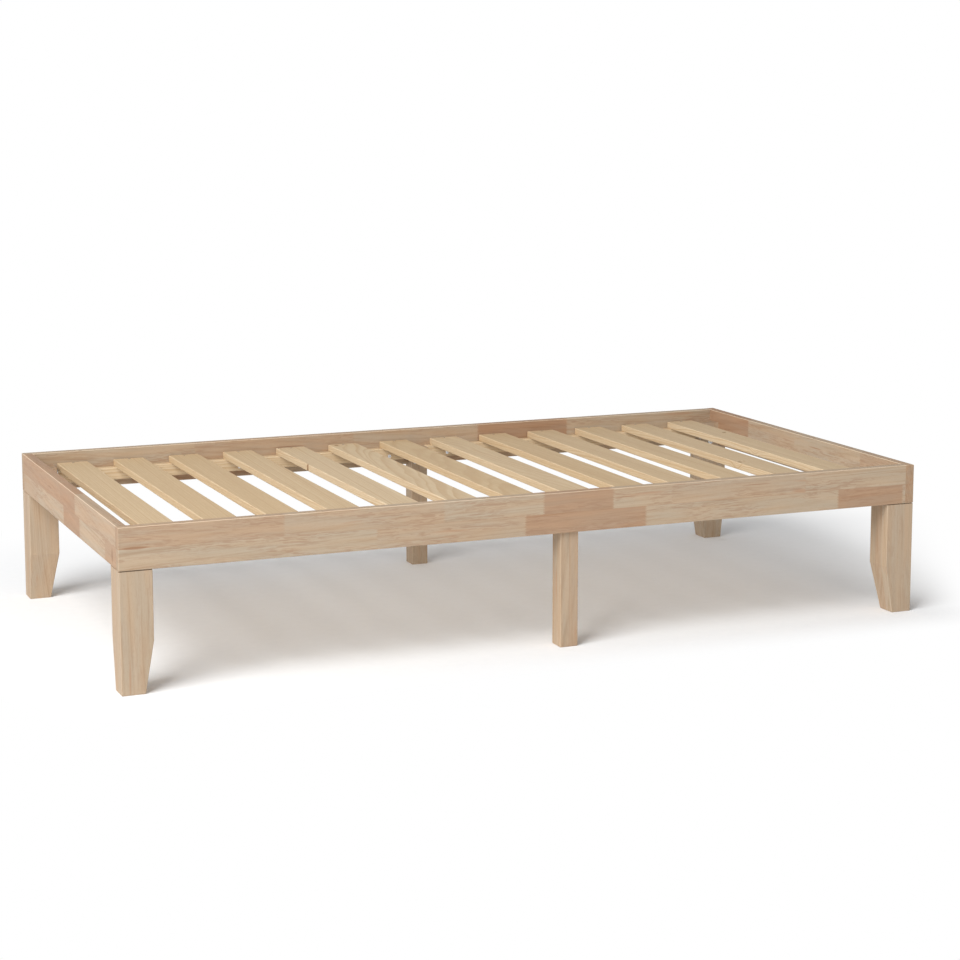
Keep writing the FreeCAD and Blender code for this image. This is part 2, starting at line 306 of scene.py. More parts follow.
class Wiring:
    """Adds nodes to one tree and joins them."""

    def __init__(self, tree):
        self.tree = tree

    def add(self, kind, inputs=None, **settings):
        """A new node. The inputs pair a socket's name or number with an output or a plain value."""
        node = self.tree.nodes.new(kind)
        for name, value in settings.items():
            setattr(node, name, value)
        for key, value in (inputs or {}).items():
            self.feed(node.inputs[key], value)
        return node

    def feed(self, socket, value):
        """Links an output to a socket, or sets a plain value on it."""
        if isinstance(value, bpy.types.NodeSocket):
            self.tree.links.new(value, socket)
        else:
            socket.default_value = value

    def math(self, operation, *values):
        return self.add("ShaderNodeMath", dict(enumerate(values)), operation=operation).outputs[0]

    def vector_math(self, operation, *values):
        node = self.add("ShaderNodeVectorMath", dict(enumerate(values)), operation=operation)
        return node.outputs["Value" if operation == "LENGTH" else "Vector"]

    def split(self, vector):
        return self.add("ShaderNodeSeparateXYZ", {0: vector}).outputs

    def join(self, x, y, z):
        return self.add("ShaderNodeCombineXYZ", {0: x, 1: y, 2: z}).outputs[0]

    def noise(self, place, grain, detail=2.0, roughness=0.5):
        """Noise that is drawn out along the grain."""
        along, across = grain
        stretched = self.vector_math("MULTIPLY", place, (along, across, across))
        inputs = {"Vector": stretched, "Scale": 1.0, "Detail": detail, "Roughness": roughness}
        return self.add("ShaderNodeTexNoise", inputs).outputs["Fac"]

    def noise_line(self, value, detail=2.0):
        """Noise along a single number."""
        inputs = {"W": value, "Scale": 1.0, "Detail": detail}
        return self.add("ShaderNodeTexNoise", inputs, noise_dimensions="1D").outputs["Fac"]

    def scatter(self, vector):
        """Three random numbers, the same wherever the vector is the same."""
        node = self.add("ShaderNodeTexWhiteNoise", {"Vector": vector}, noise_dimensions="3D")
        return node.outputs["Color"]

    def remap(self, value, low, high, to_low=0.0, to_high=1.0, smooth=True):
        """A value between two limits, carried over to two other limits and held there."""
        inputs = {"Value": value, 1: low, 2: high, 3: to_low, 4: to_high}
        kind = "SMOOTHSTEP" if smooth else "LINEAR"
        return self.add("ShaderNodeMapRange", inputs, interpolation_type=kind, clamp=True).outputs["Result"]

    def ramp(self, value, stops, interpolation="LINEAR"):
        """A colour ramp with stops (position, colour)."""
        node = self.add("ShaderNodeValToRGB", {"Fac": value})
        elements = node.color_ramp.elements
        node.color_ramp.interpolation = interpolation
        while len(elements) < len(stops):
            elements.new(1.0)
        for element, (position, colour) in zip(elements, stops):
            element.position = position
            element.color = opaque(colour)
        return node.outputs["Color"]

    def mix(self, factor, first, second):
        """A number between two numbers."""
        return self.add("ShaderNodeMix", {0: factor, 2: first, 3: second}, data_type="FLOAT").outputs[0]

    def blend(self, factor, first, second, how="MIX"):
        """A colour between two colours, or one made by another way of mixing."""
        inputs = {0: factor, 6: first, 7: second}
        return self.add("ShaderNodeMix", inputs, data_type="RGBA", blend_type=how).outputs[2]


def new_group(name, inputs, outputs, kind="ShaderNodeTree"):
    """An empty node group with its sockets, given as pairs of name and socket type."""
    group = bpy.data.node_groups.new(name, kind)
    for socket, socket_type in inputs:
        group.interface.new_socket(socket, in_out="INPUT", socket_type=socket_type)
    for socket, socket_type in outputs:
        group.interface.new_socket(socket, in_out="OUTPUT", socket_type=socket_type)
    return group


# Wood figure

WOOD_INPUTS = [("Place", "NodeSocketVector"), ("Tone", "NodeSocketFloat"), ("End", "NodeSocketFloat"),
               ("Edge Highlight", "NodeSocketFloat")]
WOOD_OUTPUTS = [("Colour", "NodeSocketColor"), ("Roughness", "NodeSocketFloat"),
                ("Height", "NodeSocketFloat")]


def growth_radius(w, place, lean):
    """Distance from the heart of the tree, which leans a little against the board."""
    along, across, through = w.split(place)
    leaning = w.math("MULTIPLY_ADD", along, lean, through)
    return w.vector_math("LENGTH", w.join(0.0, across, leaning))


def wandering(w, place, reach, grain=SWAY_GRAIN):
    """The place, moved sideways a little so that the grain doesn't run dead straight."""
    sway = w.noise(place, grain)
    aside = w.math("MULTIPLY", w.math("SUBTRACT", sway, 0.5), reach)
    return w.vector_math("ADD", place, w.join(0.0, aside, aside))


def rubberwood_figure():
    """Growth bands, streaks, flecks, fibres and open vessels of one rubberwood stave."""
    group = new_group("rubberwood_figure", WOOD_INPUTS + [("Flecks", "NodeSocketFloat")], WOOD_OUTPUTS)
    w = Wiring(group)
    given = w.add("NodeGroupInput").outputs
    place = wandering(w, given["Place"], RUBBERWOOD_SWAY)
    grain, fade, share = RUBBERWOOD_GRAIN, RUBBERWOOD_FADE, RUBBERWOOD_SHARE

    radius = growth_radius(w, place, RUBBERWOOD_LEAN)
    growth = w.noise_line(w.math("MULTIPLY", radius, RUBBERWOOD_BANDS), detail=3.0)
    streaks = w.noise(place, grain["streaks"], detail=4.0, roughness=0.64)
    fibres = w.noise(place, grain["fibres"])
    vessels = w.remap(w.noise(place, grain["vessels"]), *fade["vessels"])
    marks = w.remap(w.noise(place, grain["marks"], detail=1.0), *fade["marks"])
    rippled = wandering(w, place, RUBBERWOOD_RIPPLE, grain["ripples"])
    flecks = w.remap(w.noise(rippled, grain["flecks"]), *fade["flecks"])
    flame = w.remap(w.noise(place, grain["flame"]), *fade["flame"])
    warmth = w.noise(place, grain["warmth"], detail=1.0)

    shade = w.math("MULTIPLY_ADD", growth, share["growth"], w.math("MULTIPLY", streaks, share["streaks"]))
    shade = w.math("MULTIPLY_ADD", w.math("SUBTRACT", fibres, 0.5), share["fibres"], shade)
    colour = w.blend(1.0, w.ramp(given["Tone"], STAVE_COLOURS), w.ramp(shade, RUBBERWOOD_SHADES), "MULTIPLY")
    colour = w.blend(1.0, colour, w.ramp(warmth, RUBBERWOOD_TINGES), "MULTIPLY")
    gathered = w.math("MULTIPLY", flecks, flame)
    colour = w.blend(w.math("MULTIPLY", gathered, given["Flecks"]), colour, opaque(RUBBERWOOD_FLECK))
    colour = w.blend(w.math("MULTIPLY", marks, share["marks"]), colour, opaque(RUBBERWOOD_MARK))
    colour = w.blend(w.math("MULTIPLY", vessels, share["vessels"]), colour, opaque(RUBBERWOOD_VESSEL))
    end = w.math("MULTIPLY", given["End"], share["end"])
    colour = w.blend(end, colour, opaque(RUBBERWOOD_END), "MULTIPLY")
    # Painted highlight: rounded edges turn paler towards this colour
    colour = w.blend(given["Edge Highlight"], colour, opaque(RUBBERWOOD_EDGE_HIGHLIGHT))

    rough, relief = RUBBERWOOD_ROUGHNESS, RUBBERWOOD_RELIEF
    roughness = w.math("MULTIPLY_ADD", streaks, rough["streaks"], rough["plain"])
    roughness = w.math("MULTIPLY_ADD", vessels, rough["vessels"], roughness)
    height = w.math("MULTIPLY_ADD", vessels, relief["vessels"], w.math("MULTIPLY", fibres, relief["fibres"]))
    w.add("NodeGroupOutput", {"Colour": colour, "Roughness": roughness, "Height": height})
    return group


def pine_figure():
    """Early and late wood, knots and fibres of a planed pine board."""
    group = new_group("pine_figure", WOOD_INPUTS, WOOD_OUTPUTS)
    w = Wiring(group)
    given = w.add("NodeGroupInput").outputs
    place = wandering(w, given["Place"], PINE_SWAY)
    grain, fade, share = PINE_GRAIN, PINE_FADE, PINE_SHARE

    spots = w.vector_math("MULTIPLY", given["Place"], (*grain["knots"], 0.0))
    cells = w.add("ShaderNodeTexVoronoi", {"Vector": spots, "Scale": 1.0}, voronoi_dimensions="2D")
    without_knot = w.math("GREATER_THAN", w.split(cells.outputs["Color"])[0], KNOT_CHANCE)
    away = w.math("ADD", cells.outputs["Distance"], without_knot)
    swell = w.remap(away, *fade["swell"], 1.0, 0.0)
    knot = w.remap(away, *fade["knots"], 1.0, 0.0)

    radius = growth_radius(w, place, PINE_LEAN)
    radius = w.math("MULTIPLY_ADD", swell, KNOT_SWELL, radius)
    uneven = w.noise_line(w.math("MULTIPLY", radius, PINE_UNEVEN_BANDS))
    rings = w.math("ADD", w.math("DIVIDE", radius, PINE_RING), w.math("MULTIPLY", uneven, PINE_UNEVEN))
    ring = w.math("FRACT", rings)
    late = w.math("MULTIPLY", w.remap(ring, *fade["late"]), w.remap(ring, *fade["ring"], 1.0, 0.0))
    fibres = w.noise(place, grain["fibres"])
    streaks = w.noise(place, grain["streaks"], detail=3.0)

    early = w.ramp(given["Tone"], [(0.0, PINE_EARLY), (1.0, PINE_AGED)])
    depth = w.math("MULTIPLY", late, w.remap(streaks, *fade["streaks"], *PINE_LATE_SHARE))
    colour = w.blend(depth, early, opaque(PINE_LATE))
    shade = w.math("MULTIPLY_ADD", fibres, share["fibres"], w.math("MULTIPLY", streaks, share["streaks"]))
    colour = w.blend(1.0, colour, w.ramp(shade, PINE_SHADES), "MULTIPLY")
    colour = w.blend(w.math("MULTIPLY", knot, share["knots"]), colour, opaque(PINE_KNOT))
    colour = w.blend(w.math("MULTIPLY", given["End"], share["end"]), colour, opaque(PINE_END), "MULTIPLY")
    # Painted highlight: rounded edges turn paler towards this colour
    colour = w.blend(given["Edge Highlight"], colour, opaque(PINE_EDGE_HIGHLIGHT))

    rough, relief = PINE_ROUGHNESS, PINE_RELIEF
    roughness = w.math("MULTIPLY_ADD", fibres, rough["fibres"], rough["plain"])
    roughness = w.math("MULTIPLY_ADD", late, rough["late"], roughness)
    height = w.math("MULTIPLY_ADD", late, relief["late"], w.math("MULTIPLY", fibres, relief["fibres"]))
    w.add("NodeGroupOutput", {"Colour": colour, "Roughness": roughness, "Height": height})
    return group


# Which way each piece is cut from the wood, and how its staves lie

def board_place(w, order):
    """Object coordinates in a board's own order: along the grain, across its face, through its thickness."""
    parts = w.split(w.add("ShaderNodeTexCoord").outputs["Object"])
    return w.join(*[parts["XYZ".index(axis)] for axis in order])


def end_grain_and_edge_highlight(w, order):
    """How far a face looks along the grain, and how strong the painted highlight is on a rounded edge, most
    where it looks up.
    """
    normal = w.add("ShaderNodeTexCoord").outputs["Normal"]
    parts = w.split(w.vector_math("ABSOLUTE", normal))
    end = w.remap(parts["XYZ".index(order[0])], *END_FADE)
    largest = w.math("MAXIMUM", w.math("MAXIMUM", parts[0], parts[1]), parts[2])
    rounded = w.remap(largest, *ARRIS_FADE, 1.0, 0.0)
    # Painted highlight: rounded edges that look up are painted paler, as if lit from above
    facing_up = w.remap(w.split(normal)[2], *UPWARD_HIGHLIGHT_FADE, LEAST_EDGE_HIGHLIGHT, 1.0)
    return end, w.math("MULTIPLY", rounded, facing_up)


def finger_cut(w, along, across):
    """The length along a rail, with the teeth of the finger joints worked in."""
    tooth = w.math("DIVIDE", w.math("PINGPONG", across, FINGER_PITCH / 2), FINGER_PITCH / 2)
    return w.math("MULTIPLY_ADD", w.math("SUBTRACT", tooth, 0.5), FINGER_LENGTH, along)


def row_tone(w, share, staves, start, end):
    """The tone of the stave at a share of the rail's length. Each stave's number makes its tone its own."""
    stops = []
    for number, (place, tone) in enumerate(staves):
        own_tone = tone + STAVE_TONE_STEP * number
        stops.append(((place - start) / (end - start), (own_tone, own_tone, own_tone)))
    return w.split(w.ramp(share, stops, "CONSTANT"))[0]


def streak_depth(w, along, across, streaks):
    """How far a place lies inside one of the lens-shaped mineral streaks."""
    depth = 0.0
    for middle, height, half_length, half_width in streaks:
        lengthwise = w.math("DIVIDE", w.math("SUBTRACT", along, middle), half_length)
        crosswise = w.math("DIVIDE", w.math("SUBTRACT", across, height), half_width)
        lens = w.math("MULTIPLY_ADD", lengthwise, lengthwise, w.math("ABSOLUTE", crosswise))
        depth = w.math("MAXIMUM", depth, w.remap(lens, *STREAK_FADE, 1.0, 0.0))
    return depth


def glue_line(w, across, place):
    """The thin dark line between staves that meet at a place across a board."""
    distance = w.math("ABSOLUTE", w.math("SUBTRACT", across, place))
    return w.remap(distance, *GLUE_LINE_FADE, GLUE_LINE_STRENGTH, 0.0)


def listed_staves(rows, streaks, node, order):
    """Two rows of staves laid out as listed along a rail, with streaks in them."""
    low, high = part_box(node)
    lengthwise = "XYZ".index(order[0])
    start, end = low[lengthwise], high[lengthwise]
    middle = (low.z + high.z) / 2

    def layout(w, place):
        along, across = w.split(place)[:2]
        share = w.math("DIVIDE", w.math("SUBTRACT", finger_cut(w, along, across), start), end - start)
        lower, upper = [row_tone(w, share, staves, start, end) for staves in rows]
        row = w.math("GREATER_THAN", across, middle)
        tone = w.mix(row, lower, upper)
        streak = w.math("MULTIPLY", streak_depth(w, along, across, streaks), STREAK_STRENGTH)
        dark = w.math("MAXIMUM", streak, glue_line(w, across, middle))
        return w.mix(dark, tone, UMBER), w.scatter(w.join(tone, row, 0.0))

    return layout


def glued_staves(width, node, order):
    """Full-length staves of one width, glued side by side from a leg's inner face out, with random tones."""
    crosswise = "XYZ".index(order[1])
    inner_face, outer_face = sorted(abs(corner[crosswise]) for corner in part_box(node))
    stave_count = round((outer_face - inner_face) / width)

    def layout(w, place):
        across, through = w.split(place)[1:]
        from_inside = w.math("SUBTRACT", w.math("ABSOLUTE", across), inner_face)
        stave = w.math("FLOOR", w.math("DIVIDE", from_inside, width))
        chance = w.scatter(w.join(stave, w.math("SIGN", across), w.math("SIGN", through)))
        tone = w.remap(w.split(chance)[0], 0.0, 1.0, CREAM, TAN, smooth=False)
        for number in range(1, stave_count):
            tone = w.mix(glue_line(w, from_inside, number * width), tone, UMBER)
        return tone, chance

    return layout


def single_boards(first, pitch):
    """Boards that lie side by side at a steady pitch, each cut from another place in the tree."""
    def layout(w, place):
        across = w.split(place)[1]
        number = w.math("ROUND", w.math("DIVIDE", w.math("SUBTRACT", across, first), pitch))
        chance = w.scatter(w.join(number, 0.0, SLAT_SEED))
        return w.split(chance)[0], chance

    return layout


def boards_by_quarter(divide):
    """One board in each quarter of the frame, left and right, and each side of a divide along the grain."""
    def layout(w, place):
        along, across = w.split(place)[:2]
        half = w.math("GREATER_THAN", along, divide)
        chance = w.scatter(w.join(half, w.math("SIGN", across), LEDGER_SEED))
        return w.split(chance)[0], chance

    return layout


def wood(name, figure, order, layout, sheen, bump, paler_edges, **extras):
    """A wood finish from a figure and its extra inputs, the way the grain runs and a layout of staves."""
    material = bpy.data.materials.new(name)
    material.use_nodes = True
    w = Wiring(material.node_tree)
    shader = material.node_tree.nodes["Principled BSDF"]
    place = board_place(w, order)
    tone, chance = layout(w, place)
    cut_from = w.vector_math("MULTIPLY_ADD", chance, CUT_SPREAD, CUT_START)
    # The paler rounded edges are a painted highlight
    end, edge_highlight = end_grain_and_edge_highlight(w, order)
    inputs = {"Place": w.vector_math("ADD", place, cut_from), "Tone": tone, "End": end,
              "Edge Highlight": w.math("MULTIPLY", edge_highlight, paler_edges), **extras}
    look = w.add("ShaderNodeGroup", node_tree=figure)
    for socket, value in inputs.items():
        w.feed(look.inputs[socket], value)
    grain = {"Height": look.outputs["Height"], "Strength": bump, "Distance": GRAIN_DEPTH}
    relief = w.add("ShaderNodeBump", grain)
    w.feed(shader.inputs["Base Color"], look.outputs["Colour"])
    w.feed(shader.inputs["Roughness"], look.outputs["Roughness"])
    w.feed(shader.inputs["Normal"], relief.outputs["Normal"])
    shader.inputs["Specular IOR Level"].default_value = WOOD_SPECULAR
    shader.inputs["Coat Weight"].default_value = sheen
    shader.inputs["Coat Roughness"].default_value = LACQUER_ROUGHNESS
    return material


# Metal finishes

def plated(name, pale, dull):
    """Zinc plate, clouded a little, with fine scratches."""
    material = bpy.data.materials.new(name)
    material.use_nodes = True
    w = Wiring(material.node_tree)
    shader = material.node_tree.nodes["Principled BSDF"]
    place = w.add("ShaderNodeTexCoord").outputs["Object"]
    clouds = w.noise(place, (PLATE_CLOUDS, PLATE_CLOUDS), detail=3.0)
    grit = w.noise(place, (PLATE_GRIT, PLATE_GRIT))
    w.feed(shader.inputs["Base Color"], w.ramp(clouds, list(zip(PLATE_TONES, (dull, pale)))))
    scratches = w.math("MULTIPLY", grit, PLATE_ROUGHNESS["grit"])
    roughness = w.math("MULTIPLY_ADD", clouds, PLATE_ROUGHNESS["clouds"], scratches)
    w.feed(shader.inputs["Roughness"], roughness)
    relief = w.add("ShaderNodeBump", {"Height": grit, "Strength": PLATE_BUMP, "Distance": PLATE_DEPTH})
    w.feed(shader.inputs["Normal"], relief.outputs["Normal"])
    shader.inputs["Metallic"].default_value = 1.0
    return material


# Fastener shapes, drawn with the outer end of the head at height 0 and the point below it

class Fastener:
    """A geometry tree with named sizes, which sets one fastener on every point."""

    def __init__(self, name, sizes):
        inputs = [("Points", "NodeSocketGeometry")] + [(size, "NodeSocketFloat") for size in sizes]
        inputs += [("Seed", "NodeSocketInt"), ("Metal", "NodeSocketMaterial")]
        self.tree = new_group(name, inputs, [("Fasteners", "NodeSocketGeometry")], "GeometryNodeTree")
        self.w = Wiring(self.tree)
        self.given = self.w.add("NodeGroupInput").outputs

    def half(self, size):
        return self.w.math("MULTIPLY", self.given[size], 0.5)

    def less(self, first, second):
        return self.w.math("SUBTRACT", first, second)

    def moved(self, mesh, z=0.0, turn=0.0):
        """A mesh moved up and turned about the upright axis."""
        inputs = {"Geometry": mesh, "Translation": self.w.join(0.0, 0.0, z),
                  "Rotation": self.w.join(0.0, 0.0, turn)}
        return self.w.add("GeometryNodeTransform", inputs).outputs[0]

    def bar(self, radius, top, depth, sides):
        """An upright bar that hangs down from a height."""
        inputs = {"Vertices": sides, "Radius": radius, "Depth": depth}
        mesh = self.w.add("GeometryNodeMeshCylinder", inputs).outputs["Mesh"]
        return self.moved(mesh, z=self.w.math("MULTIPLY_ADD", depth, -0.5, top))

    def cone(self, top_radius, bottom_radius, top, depth, sides):
        """A cone that hangs down from a height."""
        inputs = {"Vertices": sides, "Radius Top": top_radius, "Radius Bottom": bottom_radius,
                  "Depth": depth}
        mesh = self.w.add("GeometryNodeMeshCone", inputs).outputs["Mesh"]
        return self.moved(mesh, z=self.less(top, depth))

    def thread(self, radius, low, length, ridge):
        """One ridge that winds up round a shank."""
        turns = self.w.math("DIVIDE", length, THREAD_PITCH)
        inputs = {"Resolution": THREAD_STEPS, "Rotations": turns, "Start Radius": radius,
                  "End Radius": radius, "Height": length}
        path = self.w.add("GeometryNodeCurveSpiral", inputs).outputs[0]
        section = {"Resolution": THREAD_SIDES, "Radius": ridge}
        profile = self.w.add("GeometryNodeCurvePrimitiveCircle", section)
        sweep = {"Curve": path, "Profile Curve": profile.outputs[0], "Fill Caps": True}
        return self.moved(self.w.add("GeometryNodeCurveToMesh", sweep).outputs[0], z=low)

    def combine(self, operation, first, *others):
        """Exact union, difference or intersection."""
        node = self.w.add("GeometryNodeMeshBoolean", operation=operation, solver="EXACT")
        takes = others if operation == "DIFFERENCE" else (first, *others)
        if operation == "DIFFERENCE":
            self.w.feed(node.inputs["Mesh 1"], first)
        for mesh in takes:
            self.w.feed(node.inputs["Mesh 2"], mesh)
        return node.outputs["Mesh"]

    def together(self, *meshes):
        node = self.w.add("GeometryNodeJoinGeometry")
        for mesh in meshes:
            self.w.feed(node.inputs[0], mesh)
        return node.outputs[0]

    def finish(self, mesh):
        """Welds the shape and sets it on the points, turned at random about its axis, as one plain mesh."""
        w = self.w
        welded = w.add("GeometryNodeMergeByDistance", {"Geometry": mesh, "Distance": SOLID_MERGE}).outputs[0]
        smooth = w.add("GeometryNodeSetShadeSmooth", {"Geometry": welded, "Shade Smooth": True})
        angle = w.add("GeometryNodeInputMeshEdgeAngle").outputs["Unsigned Angle"]
        crease = w.math("GREATER_THAN", angle, CREASE_ANGLE)
        sharp_inputs = {"Geometry": smooth.outputs[0], "Selection": crease, "Shade Smooth": False}
        shape = w.add("GeometryNodeSetShadeSmooth", sharp_inputs, domain="EDGE").outputs[0]
        facing = w.add("GeometryNodeInputNamedAttribute", {"Name": "facing"}, data_type="FLOAT_VECTOR")
        aim = w.add("FunctionNodeAlignRotationToVector", {"Vector": facing.outputs["Attribute"]}, axis="Z")
        placing = {"Points": self.given["Points"], "Instance": shape, "Rotation": aim.outputs[0]}
        placed = w.add("GeometryNodeInstanceOnPoints", placing).outputs[0]
        chance = w.add("FunctionNodeRandomValue", data_type="FLOAT")
        w.feed(chance.inputs[3], math.tau)
        w.feed(chance.inputs["Seed"], self.given["Seed"])
        spin = {"Instances": placed, "Rotation": w.join(0.0, 0.0, chance.outputs[1])}
        spun = w.add("GeometryNodeRotateInstances", spin).outputs[0]
        real = w.add("GeometryNodeRealizeInstances", {"Geometry": spun}).outputs[0]
        coated = w.add("GeometryNodeSetMaterial", {"Geometry": real, "Material": self.given["Metal"]})
        w.add("NodeGroupOutput", {"Fasteners": coated.outputs[0]})
        return self.tree


def cross_recess_screw():
    """A countersunk wood screw with a cross recess, a threaded shank and a point."""
    sizes = ["Head Diameter", "Shank Diameter", "Length", "Recess Span", "Recess Width", "Recess Depth"]
    f = Fastener("cross_recess_screw", sizes)
    w = f.w
    ridge = w.math("MULTIPLY", f.given["Shank Diameter"], SCREW_RIDGE)
    core = f.less(f.half("Shank Diameter"), ridge)
    head_depth = f.less(f.half("Head Diameter"), core)
    point = w.math("MULTIPLY", f.given["Shank Diameter"], SCREW_POINT)
    body_end = f.less(f.given["Length"], point)
    head = f.cone(f.half("Head Diameter"), core, 0.0, head_depth, SCREW_HEAD_SIDES)
    seat = w.math("MULTIPLY", head_depth, -SCREW_SEAT)
    body = f.bar(core, seat, w.math("ADD", body_end, seat), SCREW_SHANK_SIDES)
    neck = f.less(core, SCREW_LAP)
    tip_top = f.less(SCREW_LAP, body_end)
    tip_depth = w.math("ADD", point, SCREW_LAP)
    tip = f.cone(neck, SCREW_TIP, tip_top, tip_depth, SCREW_SHANK_SIDES)
    blank = f.combine("UNION", head, body, tip)
    slot_height = w.math("MULTIPLY", f.given["Recess Depth"], 2.0)
    slot_size = w.join(f.given["Recess Span"], f.given["Recess Width"], slot_height)
    slot = w.add("GeometryNodeMeshCube", {"Size": slot_size}).outputs["Mesh"]
    screw = f.combine("DIFFERENCE", blank, slot, f.moved(slot, turn=math.pi / 2))
    wound = f.less(body_end, w.math("MULTIPLY", head_depth, 2.0))
    thread = f.thread(core, w.math("MULTIPLY", body_end, -1.0), wound, ridge)
    return f.finish(f.together(screw, thread))


def hex_socket_bolt():
    """A button head bolt with a hexagon socket and a threaded end."""
    sizes = ["Head Diameter", "Head Height", "Head Rim", "Dome Radius", "Shank Diameter", "Length",
             "Socket Width", "Socket Depth", "Thread Length"]
    f = Fastener("hex_socket_bolt", sizes)
    w = f.w
    rim_radius = f.half("Head Diameter")
    dome_squared = w.math("POWER", f.given["Dome Radius"], 2.0)
    reach = w.math("SQRT", f.less(dome_squared, w.math("POWER", rim_radius, 2.0)))
    dome_middle = f.less(f.less(f.given["Head Rim"], f.given["Head Height"]), reach)
    ball_size = {"Segments": DISC_SIDES, "Rings": DISC_SIDES, "Radius": f.given["Dome Radius"]}
    ball = w.add("GeometryNodeMeshUVSphere", ball_size)
    dome = f.moved(ball.outputs["Mesh"], z=dome_middle)
    disc = f.bar(rim_radius, 0.0, f.given["Head Height"], DISC_SIDES)
    head = f.combine("INTERSECT", disc, dome)
    corner_radius = w.math("DIVIDE", f.given["Socket Width"], math.sqrt(3.0))
    socket_height = w.math("MULTIPLY", f.given["Socket Depth"], 2.0)
    socket = f.bar(corner_radius, f.given["Socket Depth"], socket_height, sides=6)
    head = f.combine("DIFFERENCE", head, socket)
    ridge = w.math("MULTIPLY", f.given["Shank Diameter"], BOLT_RIDGE)
    core = f.less(f.half("Shank Diameter"), ridge)
    seat = w.math("MULTIPLY", f.given["Head Height"], -BOLT_SEAT)
    shank = f.bar(core, seat, w.math("ADD", f.given["Length"], seat), BOLT_SHANK_SIDES)
    blank = f.combine("UNION", head, shank)
    thread = f.thread(core, w.math("MULTIPLY", f.given["Length"], -1.0), f.given["Thread Length"], ridge)
    return f.finish(f.together(blank, thread))


def flat_washer():
    """A flat ring with eased edges."""
    f = Fastener("flat_washer", ["Outer Diameter", "Bore", "Thickness", "Edge Radius"])
    w = f.w
    width = f.less(f.half("Outer Diameter"), f.half("Bore"))
    middle = w.math("MULTIPLY_ADD", width, 0.5, f.half("Bore"))
    circle = {"Resolution": DISC_SIDES, "Radius": middle}
    path = w.add("GeometryNodeCurvePrimitiveCircle", circle).outputs[0]
    section_size = {"Width": width, "Height": f.given["Thickness"]}
    section = w.add("GeometryNodeCurvePrimitiveQuadrilateral", section_size)
    eased = {"Curve": section.outputs[0], "Radius": f.given["Edge Radius"], "Count": 3}
    profile = w.add("GeometryNodeFilletCurve", eased, mode="POLY").outputs[0]
    ring = w.add("GeometryNodeCurveToMesh", {"Curve": path, "Profile Curve": profile}).outputs[0]
    return f.finish(f.moved(ring, z=w.math("MULTIPLY", f.given["Thickness"], -0.5)))


def threaded_insert():
    """A plain sleeve with a coarse outer thread that bites into the rail."""
    f = Fastener("threaded_insert", ["Outer Diameter", "Bore", "Length", "Thread Depth"])
    w = f.w
    outer = f.less(f.half("Outer Diameter"), f.given["Thread Depth"])
    sleeve = f.bar(outer, 0.0, f.given["Length"], INSERT_SIDES)
    hole_depth = w.math("ADD", f.given["Length"], 2 * BORE_OVERSHOOT)
    hole = f.bar(f.half("Bore"), BORE_OVERSHOOT, hole_depth, INSERT_SIDES)
    tube = f.combine("DIFFERENCE", sleeve, hole)
    wound = f.less(f.given["Length"], w.math("MULTIPLY", f.given["Thread Depth"], 2.0))
    low = f.less(f.given["Thread Depth"], f.given["Length"])
    return f.finish(f.together(tube, f.thread(outer, low, wound, f.given["Thread Depth"])))


# Where the fasteners are

def solid_boxes(node):
    """Lowest and highest corners of each separate solid in a node, in a steady order."""
    shape = bmesh.new()
    shape.from_mesh(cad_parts[node].data)
    bmesh.ops.remove_doubles(shape, verts=shape.verts[:], dist=SOLID_MERGE)
    waiting = set(shape.verts)
    boxes = []
    for first in shape.verts:
        if first not in waiting:
            continue
        waiting.discard(first)
        found = [first]
        for vert in found:
            for edge in vert.link_edges:
                other = edge.other_vert(vert)
                if other in waiting:
                    waiting.discard(other)
                    found.append(other)
        corners = [[pick(vert.co[axis] for vert in found) for axis in range(3)] for pick in (min, max)]
        boxes.append((Vector(corners[0]), Vector(corners[1])))
    shape.free()
    return sorted(boxes, key=lambda box: [round(number, 5) for number in box[0]])


def fastener_axis(low, high):
    """The axis that a turned piece lies along: its other two sizes are alike."""
    size = high - low
    return max(range(3), key=lambda axis: abs(size[axis] - sorted(size)[1]))


def outer_end(low, high):
    """The middle of the end that a fastener is driven from, and the way it faces."""
    axis = fastener_axis(low, high)
    facing = Vector((0.0, 0.0, 0.0))
    place = (low + high) / 2
    upward = axis == 2 or place[axis] < 0.0
    facing[axis] = 1.0 if upward else -1.0
    place[axis] = high[axis] if upward else low[axis]
    return place, facing


def fastener_size(node):
    """Diameter and length of the fasteners in a node."""
    low, high = solid_boxes(node)[0]
    axis = fastener_axis(low, high)
    size = high - low
    return size[(axis + 1) % 3], size[axis]


def set_fasteners(name, node, tree, sizes, metal, seed):
    """Sets one kind of fastener on its places and lets it stand for the node."""
    ends = [outer_end(low, high) for low, high in solid_boxes(node)]
    places, facings = zip(*ends)
    points = bpy.data.meshes.new(name + "_points")
    points.from_pydata(places, [], [])
    attribute = points.attributes.new("facing", "FLOAT_VECTOR", "POINT")
    for value, facing in zip(attribute.data, facings):
        value.vector = facing
    piece = bpy.data.objects.new(name, points)
    bpy.context.scene.collection.objects.link(piece)
    modifier = piece.modifiers.new("fasteners", "NODES")
    modifier.node_group = tree
    values = dict(sizes, Seed=seed, Metal=metal)
    for socket in tree.interface.items_tree:
        if socket.in_out == "INPUT" and socket.name in values:
            modifier[socket.identifier] = values[socket.name]
    made = piece.evaluated_get(bpy.context.evaluated_depsgraph_get())
    mesh = bpy.data.meshes.new_from_object(made)
    mesh.name = name
    piece.modifiers.remove(modifier)
    piece.data = mesh
    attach(piece, "root")
    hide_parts(node)


